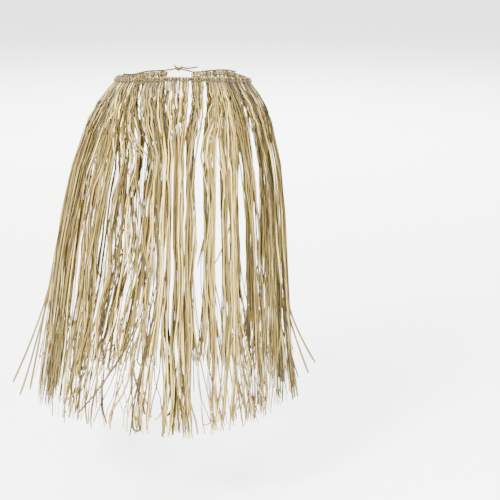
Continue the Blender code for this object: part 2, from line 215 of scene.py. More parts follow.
def formAt(turn, drop):
    across, along = math.sin(math.radians(turn)), math.cos(math.radians(turn))
    halfWidth = between(drop, form["drop"], form["right" if across >= 0 else "left"])
    halfDepth = between(drop, form["drop"], form["front" if along >= 0 else "back"])
    out = Vector((across / halfWidth, -along / halfDepth, 0)).normalized()
    return Vector((halfWidth * across, -halfDepth * along, -droop(turn, drop) - drop)), out


def onForm(turn, drop, offset=0.0):
    point, out = formAt(turn, drop)
    return point + offset * out


def softly(drop, values):
    shifts = (-parting["blur"], 0.0, parting["blur"])
    return sum(between(drop + shift, parting["drops"], values) for shift in shifts) / 3


# Whether a turn is at the back, and the turn, mirrored to the front if it is
def mirrored(turn):
    behind = math.cos(math.radians(turn)) < 0
    return behind, 180 - turn % 360 if behind else (turn + 180) % 360 - 180


# Where the partings and the leans put a turn. With a home, the turn of its fold, a strip stays on
# the side of each parting that its fold is on.
def parted(turn, drop, home=None):
    behind, place = mirrored(turn)
    homePlace = place if home is None else mirrored(home)[1]
    for side, middle, reach, widths in parting["rows"]:
        if side == ("front" if behind else "back"):
            continue
        away = math.copysign(1, homePlace - middle)
        aside = (place - middle) * away
        if aside < reach:
            if home is not None:
                aside = 0.5 * (aside + math.hypot(aside, parting["edge"]))
            gap = softly(drop, widths)
            place = middle + away * (gap + aside * (1 - gap / reach))
    leant = place
    for middle, left, right, leans in parting["sways"]:
        aside = min(abs(place - middle) / (left if place < middle else right), 1.0)
        leant += softly(drop, leans) * math.cos(aside * math.pi / 2) ** 2
    return 180 - leant if behind else leant


# The middle turn and the width of each hank, from the back round the front
def hankSpans():
    ends = [form["backGap"][1] - 360, *(t for gap in form["frontGaps"] for t in gap), form["backGap"][0]]
    spans = []
    for first, last in zip(ends[::2], ends[1::2]):
        count = round((last - first) / form["hankPitch"])
        pitch = (last - first) / count
        spans += [(first + (k + 0.5) * pitch, pitch * form["foldShare"]) for k in range(count)]
    return spans


# Materials. Each strip or ply carries a tone, and its own place across, along and a seed as "fibre"


def newNode(tree, kind, values=None, **settings):
    node = tree.nodes.new(kind)
    for name, value in settings.items():
        setattr(node, name, value)
    for name, value in (values or {}).items():
        node.inputs[name].default_value = value
    return node


def fibreMaterial(name, look):
    material = bpy.data.materials.new(name)
    material.use_nodes = True
    tree = material.node_tree
    shader = tree.nodes["Principled BSDF"]
    shader.inputs["Sheen Weight"].default_value = look["sheen"]
    shader.inputs["Sheen Roughness"].default_value = look["sheenRoughness"]
    shader.inputs["Specular IOR Level"].default_value = look["gloss"]

    def maths(kind, *values, clamp=False):
        node = newNode(tree, "ShaderNodeMath", operation=kind, use_clamp=clamp)
        for socket, value in zip(node.inputs, values):
            if isinstance(value, (int, float)):
                socket.default_value = value
            else:
                tree.links.new(value, socket)
        return node.outputs[0]

    def noise(scale, detail):
        spread = newNode(tree, "ShaderNodeMapping", {"Scale": scale})
        tree.links.new(fibre.outputs["Vector"], spread.inputs["Vector"])
        cloud = newNode(tree, "ShaderNodeTexNoise", {"Scale": 1.0, "Detail": detail, "Roughness": 0.5})
        tree.links.new(spread.outputs[0], cloud.inputs["Vector"])
        return cloud.outputs["Fac"]

    def aboutZero(value, depth):
        return maths("MULTIPLY", maths("SUBTRACT", value, 0.5), depth)

    tone = newNode(tree, "ShaderNodeAttribute", attribute_name="tone")
    fibre = newNode(tree, "ShaderNodeAttribute", attribute_name="fibre")
    streak = noise(look["streaks"], detail=3.0)
    patch = noise(look["patches"], detail=2.0)
    hue = noise(look["hues"], detail=1.0)

    # painted shade: darker towards both edges of a strip
    uv = newNode(tree, "ShaderNodeUVMap", uv_map="UVMap")
    parts = newNode(tree, "ShaderNodeSeparateXYZ")
    tree.links.new(uv.outputs[0], parts.inputs[0])
    across = maths("MULTIPLY_ADD", parts.outputs["X"], 2.0, -1.0)
    edgeShade = maths("POWER", maths("ABSOLUTE", across), look["edgeShadeCurve"])
    level = maths("ADD", tone.outputs["Fac"], aboutZero(streak, look["streakDepth"]))
    level = maths("ADD", level, aboutZero(patch, look["patchDepth"]))
    level = maths("SUBTRACT", level, maths("MULTIPLY", edgeShade, look["edgeShadeDepth"]), clamp=True)
    ramp = newNode(tree, "ShaderNodeValToRGB")
    for k, (place, colour) in enumerate(look["ramp"]):
        stop = ramp.color_ramp.elements[k] if k < 2 else ramp.color_ramp.elements.new(place)
        stop.position, stop.color = place, (*colour, 1.0)
    tree.links.new(level, ramp.inputs["Fac"])

    tint = newNode(tree, "ShaderNodeHueSaturation")
    hueShift = maths("ADD", aboutZero(hue, look["hueDepth"]), 0.5)
    faded = maths("ADD", maths("MULTIPLY", patch, look["fade"]), look["richness"] - look["fade"] / 2)
    tree.links.new(hueShift, tint.inputs["Hue"])
    tree.links.new(faded, tint.inputs["Saturation"])
    tree.links.new(ramp.outputs["Color"], tint.inputs["Color"])
    tree.links.new(tint.outputs["Color"], shader.inputs["Base Color"])
    patchy = maths("MULTIPLY", patch, look["roughSpread"])
    rough = maths("ADD", patchy, look["roughness"] - look["roughSpread"] / 2)
    tree.links.new(rough, shader.inputs["Roughness"])
    bump = newNode(tree, "ShaderNodeBump", {"Strength": look["bump"], "Distance": look["bumpHeight"]})
    tree.links.new(streak, bump.inputs["Height"])
    tree.links.new(bump.outputs[0], shader.inputs["Normal"])
    return material


raffiaLook = {
    # the two ends of the ramp, then what lies between them
    "ramp": (
        (0.0, (0.010, 0.006, 0.001)),
        (1.0, (0.850, 0.710, 0.330)),
        (0.25, (0.055, 0.036, 0.007)),
        (0.5, (0.180, 0.127, 0.031)),
        (0.75, (0.420, 0.315, 0.098)),
    ),
    # how fine each noise is across a strip, along it and from strip to strip
    "streaks": (800.0, 12.0, 40.0),
    "patches": (60.0, 14.0, 23.0),
    "hues": (10.0, 3.0, 37.0),
    "hueDepth": 0.10,
    "fade": 0.4,
    "richness": 1.04,
    "streakDepth": 0.80,
    "patchDepth": 0.28,
    # painted shade at both edges of a strip: how dark, and how closely it keeps to the edges
    "edgeShadeDepth": 0.62,
    "edgeShadeCurve": 2.6,
    "roughness": 0.50,
    "roughSpread": 0.3,
    "gloss": 0.24,
    "sheen": 0.05,
    "sheenRoughness": 0.5,
    "bump": 0.5,
    "bumpHeight": 0.0003,
}
cordLook = {**raffiaLook, "edgeShadeDepth": 0.0, "bump": 0.8}
raffia = fibreMaterial("dryRaffia", raffiaLook)
plait = fibreMaterial("plaitedRaffia", {**cordLook, "streaks": (1800.0, 90.0, 40.0)})
twisted = fibreMaterial("twistedFibre", {**cordLook, "streaks": (2200.0, 120.0, 40.0)})
print("materials made")


# Strips and plies: a flat sheet is modelled once for each kind, and each copy is laid on its own line

blanks = {}


def sheetBlank(across, along, wall):
    key = (across, along, wall)
    if key not in blanks:
        deselectAll()
        bpy.ops.mesh.primitive_grid_add(x_subdivisions=across, y_subdivisions=along, size=1)
        blank = bpy.context.object
        if wall:
            thick = blank.modifiers.new("wall", "SOLIDIFY")
            thick.thickness = 1.0
            thick.offset = 0
            bpy.ops.object.modifier_apply(modifier="wall")
        spots = np.empty(len(blank.data.vertices) * 3)
        blank.data.vertices.foreach_get("co", spots)
        blanks[key] = (blank, spots.reshape(-1, 3))
    return blanks[key]


def copyBlank(across, along, wall, name):
    blank, spots = sheetBlank(across, along, wall)
    piece = bpy.data.objects.new(name, blank.data.copy())
    bpy.context.collection.objects.link(piece)
    return piece, spots


def place(piece, spots, tones, fibres):
    data = piece.data
    data.vertices.foreach_set("co", spots.astype(np.float32).ravel())
    data.attributes.new("tone", "FLOAT", "POINT").data.foreach_set("value", tones.astype(np.float32))
    data.attributes.new("fibre", "FLOAT_VECTOR", "POINT").data.foreach_set(
        "vector", fibres.astype(np.float32).ravel()
    )
    data.update()
    return piece


def unit(rows):
    return rows / np.maximum(np.linalg.norm(rows, axis=1, keepdims=True), 1e-9)


def lengthsAlong(line):
    return np.concatenate([[0], np.cumsum(np.linalg.norm(np.diff(line, axis=0), axis=1))])


# Each crease gives the rise of the lines along a strip, as shares of its width
strip = {
    "thickness": 0.0003,
    "across": 3,
    "creases": ((0.3, -0.1, -0.1, 0.3), (0.3, -0.2, 0.15, -0.1), (-0.1, 0.2, -0.2, 0.3)),
    "toneRate": 9,
}


def layStrip(line, facing, widths, curls, twists, tones, drift):
    line, facing = np.array(line), np.array(facing)
    widths, curls, twists = np.array(widths), np.array(curls), np.array(twists)
    across = strip["across"]
    piece, spots = copyBlank(across, len(line) - 1, True, "strip")
    ahead = unit(np.gradient(line, axis=0))
    side = unit(np.cross(ahead, facing))
    up = np.cross(side, ahead)
    turnSide = side * np.cos(twists)[:, None] + up * np.sin(twists)[:, None]
    turnUp = up * np.cos(twists)[:, None] - side * np.sin(twists)[:, None]
    row = np.rint((spots[:, 1] + 0.5) * (len(line) - 1)).astype(int)
    column = np.rint((spots[:, 0] + 0.5) * across).astype(int)
    crease = np.array(dice.choice(strip["creases"]))[column]
    wide = widths[row]
    rise = crease * curls[row] * wide + spots[:, 2] * strip["thickness"]
    laid = line[row] + turnSide[row] * (spots[:, 0] * wide)[:, None] + turnUp[row] * rise[:, None]
    lengths = lengthsAlong(line)
    seed = dice.uniform(0, 50)
    fibres = np.stack([spots[:, 0] * wide, lengths[row], np.full(len(row), seed)], axis=1)
    tones = (np.zeros(len(line)) + tones)[row]
    tones = tones + drift * np.sin(lengths[row] * strip["toneRate"] + seed)
    return place(piece, laid, tones, fibres)


# A side direction for each point, turned as little as the line allows
def carried(line):
    ahead = unit(np.gradient(line, axis=0))
    sides = [np.array((0.0, 0.0, 1.0))]
    for way in ahead:
        aside = sides[-1] - way * np.dot(sides[-1], way)
        sides.append(aside / np.linalg.norm(aside))
    return ahead, np.array(sides[1:])


tube = {"hollowShade": 0.25, "plySides": 6}


# A tube along a line, round, or with lobes that wind round it once in each pitch
def layTube(name, line, radius, sides, tone, lobes=0, groove=0.0, pitch=1.0):
    line = np.array([tuple(point) for point in line])
    count = len(line)
    piece, spots = copyBlank(sides, count - 1, False, name)
    ahead, up = carried(line)
    side = np.cross(ahead, up)
    lengths = lengthsAlong(line)
    row = np.rint((spots[:, 1] + 0.5) * (count - 1)).astype(int)
    angle = (spots[:, 0] + 0.5) * math.tau
    hollow = 0.5 - 0.5 * np.cos(lobes * angle)
    turned = angle + math.tau * lengths[row] / pitch * (1 if lobes else 0)
    reach = radius * (1 - groove * hollow)
    laid = line[row] + reach[:, None] * (
        side[row] * np.cos(turned)[:, None] + up[row] * np.sin(turned)[:, None]
    )
    seed = dice.uniform(0, 50)
    fibres = np.stack([np.sin(angle) * radius, lengths[row], np.full(len(row), seed)], axis=1)
    return place(piece, laid, tone - tube["hollowShade"] * hollow, fibres)


def dress(piece, material, slot, *nodes, sharp=50):
    closeUp(piece, sharp)
    piece.data.materials.clear()
    piece.data.materials.append(material)
    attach(piece, "root")
    if nodes:
        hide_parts(*nodes)


# The ties, with the knot between them, and the ropes that they come from

fold = {"cordRadius": 0.0028, "fit": 0.0003, "wall": 0.0014}
foldOffset = fold["cordRadius"] + fold["fit"] + fold["wall"] / 2  # from the cord to a fold's middle
rope = {
    "radius": 0.0022,
    "sides": 12,
    "lobes": 3,
    "groove": 0.22,
    "pitch": 0.012,
    "step": 0.0012,
    "left": (246.0, 196.3),  # turns, from the cut end to the tie
    "right": (126.0, 171.2),
    "points": 140,
    "lift": 0.0005,
    "pressed": 0.85,
    "wander": ((0.0002, 0.31), (0.0003, 0.23)),  # up and out: its size, and radians for each point
    "tone": 0.32,
    "backTone": 0.27,
}
knotWork = {
    "at": (-0.0107, 0.1166, 0.0003),
    "half": (0.0128, 0.0042, 0.0056),
    "weave": (0.215, 0.50, 0.200),
    "points": 72,
    "radius": 0.0022,
    "groove": 0.2,
    "pitch": 0.011,
    "tone": 0.40,
}
fray = {
    "points": 9,
    "width": 0.0011,
    "narrowing": 0.7,
    "root": 0.0007,
    "inside": 0.002,
    "scatter": 0.4,
    "lengths": (0.6, 1.0),
    "splays": (0.9, 1.1),
    "curl": 0.8,
    "toneDrift": 0.05,
    "tie": {"length": 0.009, "count": 7, "spread": 0.0035, "tone": 0.7},
    "rope": {"length": 0.005, "count": 6, "spread": 0.0012, "tone": 0.12},
}
tie = {
    "left": (
        (-0.0412, 0.1109, -0.0022),
        (-0.0370, 0.1120, -0.0020),
        (-0.0310, 0.1138, -0.0016),
        (-0.0260, 0.1152, -0.0009),
        (-0.0208, 0.1163, 0.0001),
        (-0.0150, 0.1166, 0.0014),
        (-0.0152, 0.1167, 0.0036),
        (-0.0168, 0.1168, 0.0048),
        (-0.0176, 0.1170, 0.0058),
        (-0.0190, 0.1172, 0.0070),
    ),
    "right": (
        (0.0220, 0.1138, -0.0060),
        (0.0185, 0.1144, -0.0056),
        (0.0130, 0.1152, -0.0043),
        (0.0070, 0.1158, -0.0028),
        (-0.0006, 0.1164, -0.0010),
        (-0.0070, 0.1172, 0.0004),
        (-0.0074, 0.1184, 0.0022),
        (-0.0048, 0.1195, 0.0032),
        (-0.0035, 0.1210, 0.0040),
        (0.0000, 0.1220, 0.0034),
        (0.0060, 0.1218, 0.0016),
        (0.0130, 0.1210, 0.0010),
        (0.0220, 0.1198, 0.0022),
        (0.0320, 0.1184, 0.0040),
    ),
}


def smoothRoute(route, step):
    stops = [Vector(p) for p in route]
    stops = [2 * stops[0] - stops[1], *stops, 2 * stops[-1] - stops[-2]]
    points = []
    for before, start, end, after in zip(stops, stops[1:], stops[2:], stops[3:]):
        count = max(round((end - start).length / step), 1)
        for k in range(count):
            t = k / count
            bend = (2 * before - 5 * start + 4 * end - after) * t**2
            points.append(
                0.5 * (2 * start + (end - before) * t + bend + (3 * start - before - 3 * end + after) * t**3)
            )
    return [*points, stops[-2]]


def twistedRope(name, points, tone):
    return layTube(
        name, points, rope["radius"], rope["sides"], tone,
        lobes=rope["lobes"], groove=rope["groove"], pitch=rope["pitch"],
    )


def frayedEnd(name, tip, ahead, kind):
    count, rows = fray[kind]["count"], fray["points"]
    strips = []
    for k in range(count):
        turnBy = math.tau * k / count + dice.uniform(-fray["scatter"], fray["scatter"])
        aside = ahead.orthogonal().normalized()
        aside = aside * math.cos(turnBy) + ahead.cross(aside) * math.sin(turnBy)
        reach = fray[kind]["length"] * dice.uniform(*fray["lengths"])
        line, widths = [], []
        for j in range(rows):
            t = j / (rows - 1)
            splay = fray[kind]["spread"] * dice.uniform(*fray["splays"]) * t**2
            line.append(tip + ahead * (reach * t - fray["inside"]) + aside * (fray["root"] + splay))
            widths.append(fray["width"] * (1 - fray["narrowing"] * t))
        facing, curls, flat = [tuple(aside)] * rows, [fray["curl"]] * rows, [0.0] * rows
        strips.append(layStrip(line, facing, widths, curls, flat, fray[kind]["tone"], fray["toneDrift"]))
    return joined(strips, name)


# A closed line that crosses itself three times
def knotLine():
    half, weave = knotWork["half"], knotWork["weave"]
    line = []
    for k in range(knotWork["points"] + 1):
        t = math.tau * k / knotWork["points"]
        along = half[0] * weave[0] * (math.sin(t) + 2 * math.sin(2 * t))
        through = half[1] * weave[1] * math.sin(3 * t)
        up = half[2] * weave[2] * (math.cos(t) - 2 * math.cos(2 * t))
        line.append(Vector(knotWork["at"]) + Vector((along, through, up)))
    return line


knot = layTube(
    "tieKnot", knotLine(), knotWork["radius"], rope["sides"], knotWork["tone"],
    lobes=rope["lobes"], groove=knotWork["groove"], pitch=knotWork["pitch"],
)
dress(knot, twisted, "tie", "tie_knot")

for side in ("left", "right"):
    route = smoothRoute(tie[side], rope["step"])
    label = "tie" + side.capitalize()
    ties = twistedRope(label, route, rope["tone"])
    dress(ties, twisted, "tie", f"tie_{side}", f"tie_{side}_end")
    frayed = frayedEnd(label + "Fray", route[-1], (route[-1] - route[-2]).normalized(), "tie")
    dress(frayed, raffia, "tie")

    height = foldOffset + rope["lift"] + rope["pressed"] * rope["radius"]
    first, last = rope[side]
    (rise, riseRate), (sway, swayRate) = rope["wander"]
    line = []
    for k in range(rope["points"] + 1):
        turn = first + (last - first) * k / rope["points"]
        line.append(onForm(turn, -height - rise * math.sin(k * riseRate), sway * math.sin(k * swayRate)))
    label = "backRope" + side.capitalize()
    piece = twistedRope(label, line, rope["backTone"])
    stub = frayedEnd(label + "Stub", line[0], (line[0] - line[1]).normalized(), "rope")
    dress(joined([piece, stub], label), twisted, "tie", "back_rope_" + side)
print("ties, knot and ropes made")


# The waist cord, plaited from three plies


# Turns from one end of the waist cord to the other, less a little at both
def cordTurns(count, short=0.0):
    first, last = form["backGap"][1] - 360 + short, form["backGap"][0] - short
    return [first + (last - first) * k / count for k in range(count + 1)]


# How far round a ply is at each point of the spine that it winds along. A spine is a list of points,
# each with the way out from it.
def windings(spine, pitch, share):
    length, angles = 0.0, [math.tau * share]
    for (before, _), (after, _) in zip(spine, spine[1:]):
        length += (after - before).length
        angles.append(math.tau * (length / pitch + share))
    return angles


plaitWork = {
    "plies": 3,
    "pitch": 0.017,
    "wide": 0.00145,
    "deep": 0.0008,
    "radius": 0.00125,
    "points": 620,
    "tone": 0.30,
    "toneStep": 0.06,
}
spine = [formAt(turn, 0.0) for turn in cordTurns(plaitWork["points"])]
plies = []
for ply in range(plaitWork["plies"]):
    angles = windings(spine, plaitWork["pitch"], ply / plaitWork["plies"])
    line = []
    for (middle, out), angle in zip(spine, angles):
        rise = Vector((0, 0, plaitWork["wide"] * math.sin(angle)))
        line.append(middle + rise + out * plaitWork["deep"] * math.sin(2 * angle))
    tone = plaitWork["tone"] + plaitWork["toneStep"] * (ply - 1)
    plies.append(layTube("ply", line, plaitWork["radius"], tube["plySides"], tone))
dress(joined(plies, "waistCord"), plait, "plait", "waist_cord")
print("waist cord plaited")


# The twines under the cord, each of two plies twisted round each other, slack over the front gaps

twineWork = {
    "plies": 2,
    "drop": 0.0035,
    "wander": (0.0005, 0.9),
    "radius": 0.0012,
    "plyRadius": 0.00085,
    "plyOffset": 0.0007,
    "pitch": 0.0095,
    "points": 1000,
    "short": 0.5,  # degrees short of each end of the cord
    "tones": (0.02, 0.34),
    # the middle, the reach and the depth where the outer one hangs slack
    "sags": ((-37.0, 4.2, 0.0065), (18.4, 3.6, 0.0018)),
}


def twineDrop(turn, side):
    size, rate = twineWork["wander"]
    drop = twineWork["drop"] + size * math.sin(turn * rate + side)
    if side > 0:
        for middle, reach, depth in twineWork["sags"]:
            drop += depth * max(0.0, 1 - ((turn - middle) / reach) ** 2)
    return drop


for side, label, node in ((1, "twineOuter", "twine_outer"), (-1, "twineInner", "twine_inner")):
    offset = side * (foldOffset + fold["wall"] / 2 + fold["fit"] + twineWork["radius"])
    spine = []
    for turn in cordTurns(twineWork["points"], twineWork["short"]):
        middle, out = formAt(turn, twineDrop(turn, side))
        spine.append((middle + out * offset, out))
    plies = []
    for ply, tone in enumerate(twineWork["tones"]):
        angles = windings(spine, twineWork["pitch"], ply / twineWork["plies"])
        line = []
        for (middle, out), angle in zip(spine, angles):
            wind = Vector((0, 0, math.sin(angle))) + out * math.cos(angle)
            line.append(middle + wind * twineWork["plyOffset"])
        plies.append(layTube("ply", line, twineWork["plyRadius"], tube["plySides"], tone))
    dress(joined(plies, label), twisted, "twine", node)
print("twines twisted")


# The grass: strips folded over the cord, each with a leg outside it and one inside. The strips of a
# hank gather in two locks. A spot is a place across a hank, from -0.5 to 0.5.

grass = {
    # strips in a hank that hangs as wide as its fold, and the least and the most times as many
    "strips": 9.5,
    "fewest": 0.68,
    "most": 1.45,
    "stretchDrop": 0.42,  # where a hank's width is taken
    "middle": {"turns": (-14.0, 14.0), "times": 1.35},
    "scatter": 0.02,
    "lean": 0.003,
    "crossing": (0.7, 1.1),  # inner legs change places, in spacings of the strips
    "facingShare": 0.40,  # how much of the way strips turn to face the front or the back
    "foldRadius": 0.142,  # of the ring of folds, on average
    "foldSteps": 6,
    "foldWidths": (0.70, 1.10),
    "foldOffsets": (-0.0005, 0.0007),
    "tone": (0.70, 0.03),
    # painted shade: hanks are darker towards the sides, more on the right
    "sideShade": {"left": 0.01, "right": 0.07},
    "tones": ((-0.34, -0.22, -0.12, 0.06), (-0.02, 0.12, 0.22, 0.36)),  # every other strip is darker
    "toneSpread": 0.04,
    "toneRange": (0.30, 1.0),
    "toneDrift": 0.06,
}
lockWork = {
    "places": (-0.25, 0.25),
    "scatter": 0.03,
    # how widely its legs are spread at each drop
    "drops": (0.03, 0.13, 0.28, 0.48, 0.77),
    "tight": (1.0, 0.8, 0.35, 0.35, 0.3),
    "loose": ((0.7, 1.0), (0.30, 0.75), (0.45, 0.95), (0.5, 1.1)),
    "tightShare": 0.22,
    "tightFree": 0.4,
    "lean": 0.009,
    "drift": (0.0035, 0.20, 0.50),
    "toneSpread": 0.03,
}
habitWork = {
    "looseShare": 0.22,
    "loose": {"lean": 0.028, "tone": -0.14, "free": (1.2, 2.4)},
    "plain": {"lean": 0.009, "tone": 0.02, "free": (0.6, 1.3)},
    # the sizes, then the shortest and the longest wave; those of the twist are in degrees
    "crinkle": ((0.0002, 0.0007), 0.016, 0.030),
    "weave": ((0.0010, 0.0034), 0.035, 0.090),
    "ripple": (0.0011, 0.018, 0.05),
    "drift": ((0.0010, 0.0045), 0.12, 0.36),
    "twist": ((8, 36), 0.08, 0.30),
    "twistLean": 20,  # degrees
    "tilt": 20,  # degrees, just under the cord
    "flick": 0.030,
    "layer": (-0.0025, 0.0065),
    "widths": ((0.0020, 0.0028), (0.0024, 0.0034), (0.0028, 0.0040), (0.0038, 0.0052)),
    "curl": (0.3, 1.2),
    "top": 0.21,  # how much the tones vary at the top
    "hookFrom": 0.95,
    "hookLength": 0.5,
    "hook": (0.6, 2.4),
}
legWork = {
    "length": 0.790,
    "sideLength": {"left": 0.776, "right": 0.742},
    "spread": 0.026,
    "sideSpread": {"left": 0.062, "right": 0.036},
    "spreadCurve": 1.7,  # above 1, so that most legs end near the hem
    "midShare": 0.10,
    "midLess": (0.035, 0.105),
    "shortShare": 0.06,
    "shortLengths": (0.50, 0.71),
    # outer legs that end high up
    "high": {"turns": (-52.0, -40.5), "from": -0.1, "length": 0.165, "times": (0.8, 1.1)},
    # rows are closer under the cord and at the tip: how far, the most of the length, and how many
    "near": 0.125,
    "nearShare": 0.5,
    "nearRows": 17,
    "farRows": 16,
    "tip": 0.045,
    "tipShare": 0.2,
    "tipRows": 6,
    # legs move from the offset of the fold to that of the hem between these
    "layerDrops": (0.017, 0.530),
    "hemOffset": 0.008,
    "crossDrop": 0.036,
    "crossBulge": 0.0007,
    "leanDrop": 0.78,
    "leanCurve": 1.3,
    "calm": ((0.03, 0.15, 0.4), (1.0, 0.50, 0.15)),  # the waves lessen with the drop
    "flickFrom": 0.66,
    "flickCurve": 1.5,
    "flickOver": 0.20,
    "narrowing": 0.30,
    "narrowOver": 0.020,
    "narrowCurve": 0.7,
    "hemWider": 0.10,
    "leastCurl": 0.15,
    "outerShade": -0.28,
    "innerShade": -0.12,
    "topShade": -0.09,
    "lowShade": -0.05,
    "hookCurve": 1.3,
    "hookSteps": (0.6, 0.9),
}
# Where each trait sets in below the cord, and the drop over which it grows to its full size
onset = {
    "cross": (0, 0.018),
    "own": (0, 0.2),
    "layer": (0.012, 0.05),
    "waves": (0.010, 0.03),
    "width": (0.010, 0.04),
    "hemWidth": (0.6, 0.15),
    "twist": (0.02, 0.10),
    "tilt": (0.006, 0.012),
    "outerShade": (0.004, 0.034),
    "innerShade": (0, 0.006),
    "topShade": (0, 0.20),
    "lowShade": (0.45, 0.30),
}
# The strays leave the mass at a drop, then bow out and aside
strayWork = {
    "reach": 0.7,
    "bow": 1.5,
    "width": 0.0048,
    "twist": (0.2, 0.1, 0.3),
    "curl": 0.2,
    "weave": (0.0008, 0.2, 0.4),
    "tone": 0.55,
}
strays = [
    {"turn": -101, "leave": 0.30, "out": 0.066, "aside": 0.0, "length": 0.745, "bow": 1.9},
    {"turn": -96, "leave": 0.44, "out": 0.050, "aside": 0.0, "length": 0.785, "bow": 1.4},
    {"turn": -88, "leave": 0.36, "out": 0.020, "aside": 0.0, "length": 0.752, "bow": 1.2},
    {"turn": -49, "leave": 0.61, "out": 0.004, "aside": -0.044, "length": 0.735, "tone": 0.30},
    {"turn": -32.5, "leave": 0.58, "out": 0.006, "aside": -0.075, "length": 0.745, "tone": 0.30},
    {
        "turn": -29.5, "leave": 0.60, "out": 0.006, "aside": -0.004, "length": 0.808, "tone": 0.34,
        "hook": 3.6,
    },
    {"turn": 70, "leave": 0.50, "out": 0.004, "aside": 0.010, "length": 0.750, "tone": 0.40},
    {"turn": 77, "leave": 0.46, "out": 0.002, "aside": 0.012, "length": 0.770, "tone": 0.45},
    {"turn": 84, "leave": 0.48, "out": 0.014, "aside": 0.0, "length": 0.765},
    {"turn": 93, "leave": 0.52, "out": 0.064, "aside": 0.0, "length": 0.700},
    {"turn": 101, "leave": 0.50, "out": 0.048, "aside": 0.0, "length": 0.725},
]


def waves(size, least, most):
    rates = [math.tau / dice.uniform(least, most) for _ in range(2)]
    return [(size * dice.uniform(0.5, 1.0), rate, dice.uniform(0, math.tau)) for rate in rates]


def sizedWaves(sizes, least, most):
    return waves(dice.uniform(*sizes), least, most)


def wave(rows, drop):
    return sum(size * math.sin(rate * drop + phase) for size, rate, phase in rows)


def setIn(trait, drop):
    start, over = onset[trait]
    return ease((drop - start) / over)


# The side that a turn is on, and how far round to that side it is
def handAt(turn):
    sideways = math.sin(math.radians(turn))
    return "right" if sideways > 0 else "left", sideways**2


def makeLock(middle):
    tight = dice.random() < lockWork["tightShare"]
    shares = (1.0, *(dice.uniform(*span) for span in lockWork["loose"]))
    return {
        "at": middle + dice.gauss(0, lockWork["scatter"]),
        "shares": lockWork["tight"] if tight else shares,
        "free": lockWork["tightFree"] if tight else 1.0,
        "lean": dice.gauss(0, lockWork["lean"]),
        "drift": waves(*lockWork["drift"]),
        "tone": dice.gauss(0, lockWork["toneSpread"]),
    }


# How one leg hangs
def makeHabit(length):
    kind = dice.random()
    manner = habitWork["loose" if kind < habitWork["looseShare"] else "plain"]
    twistSizes, *twistWaves = habitWork["twist"]
    hooked = kind > habitWork["hookFrom"] and length > habitWork["hookLength"]
    return {
        "length": length,
        "crinkle": sizedWaves(*habitWork["crinkle"]),
        "weave": sizedWaves(*habitWork["weave"]),
        "ripple": waves(*habitWork["ripple"]),
        "drift": sizedWaves(*habitWork["drift"]),
        "lean": dice.gauss(0, manner["lean"]),
        "tone": manner["tone"],
        "flick": dice.gauss(0, habitWork["flick"]),
        "layer": dice.uniform(*habitWork["layer"]),
        "free": dice.uniform(*manner["free"]),
        "width": dice.uniform(*dice.choice(habitWork["widths"])),
        "twist": waves(math.radians(dice.uniform(*twistSizes)), *twistWaves),
        "twistLean": math.radians(dice.gauss(0, habitWork["twistLean"])),
        "tilt": math.radians(dice.gauss(0, habitWork["tilt"])),
        "curl": dice.uniform(*habitWork["curl"]),
        "top": dice.gauss(0, habitWork["top"]),
        "hook": dice.choice((-1, 1)) * dice.uniform(*habitWork["hook"]) if hooked else 0.0,
        "stray": None,
    }


# A stray is wide and smooth, and its flat side faces the front
def makeStray(habit, stray, facing):
    habit["stray"], habit["hook"] = stray, stray.get("hook", 0.0)
    habit["width"], habit["curl"] = strayWork["width"], strayWork["curl"]
    habit["twistLean"], habit["twist"] = math.radians(facing), waves(*strayWork["twist"])
    habit["weave"] = habit["drift"] = waves(*strayWork["weave"])


# Each stray is taken by the first strip that is near its turn
def strayAt(at, reach):
    for row in strays:
        if abs(row["turn"] - at) < reach:
            strays.remove(row)
            return row
    return None


def legLength(at, spot, side):
    hand, share = handAt(at)
    high = legWork["high"]
    full = legWork["length"] + (legWork["sideLength"][hand] - legWork["length"]) * share
    spread = legWork["spread"] + legWork["sideSpread"][hand] * share
    length = full - spread * dice.random() ** legWork["spreadCurve"]
    if dice.random() < legWork["midShare"]:
        length = full - dice.uniform(*legWork["midLess"])
    if dice.random() < legWork["shortShare"]:
        length = dice.uniform(*legWork["shortLengths"])
    if side > 0 and high["turns"][0] < at < high["turns"][1] and spot > high["from"]:
        length = high["length"] * dice.uniform(*high["times"])
    return length


def legDrops(length):
    low = min(legWork["near"], legWork["nearShare"] * length)
    tip = min(legWork["tip"], legWork["tipShare"] * length)
    nearRows, farRows, tipRows = legWork["nearRows"], legWork["farRows"], legWork["tipRows"]
    near = [low * k / nearRows for k in range(nearRows + 1)]
    far = [low + (length - tip - low) * k / farRows for k in range(1, farRows + 1)]
    return [*near, *far, *(length - tip + tip * k / tipRows for k in range(1, tipRows + 1))]


# The turn of a leg at a drop: drawn to its lock, drifting, then parted
def legTurn(hank, lock, spot, side, habit, drop):
    crossed = spot + habit["cross"] if side < 0 else spot
    start = spot + (crossed - spot) * setIn("cross", drop)
    share = between(drop, lockWork["drops"], lock["shares"])
    share *= 1 + (habit["free"] - 1) * setIn("own", drop)
    turn = hank["turn"] + hank["width"] * (lock["at"] + (start - lock["at"]) * share)
    lean = habit["lean"] * lock["free"] + lock["lean"] + hank["lean"]
    drift = setIn("own", drop) * (wave(habit["drift"], drop) + wave(lock["drift"], drop))
    drift += lean * (drop / legWork["leanDrop"]) ** legWork["leanCurve"]
    middle, _ = formAt(turn, drop)
    turn += math.degrees(drift / math.hypot(middle.x, middle.y))
    return parted(turn, drop, habit["home"])


def legOffset(lock, spot, side, habit, drop):
    offset = between(drop, legWork["layerDrops"], (foldOffset, legWork["hemOffset"]))
    offset += habit["layer"] * setIn("layer", drop)
    if side < 0 and drop < legWork["crossDrop"]:
        bulge = legWork["crossBulge"] * math.copysign(1, spot - lock["at"])
        offset += bulge * math.sin(math.pi * drop / legWork["crossDrop"])
    return offset


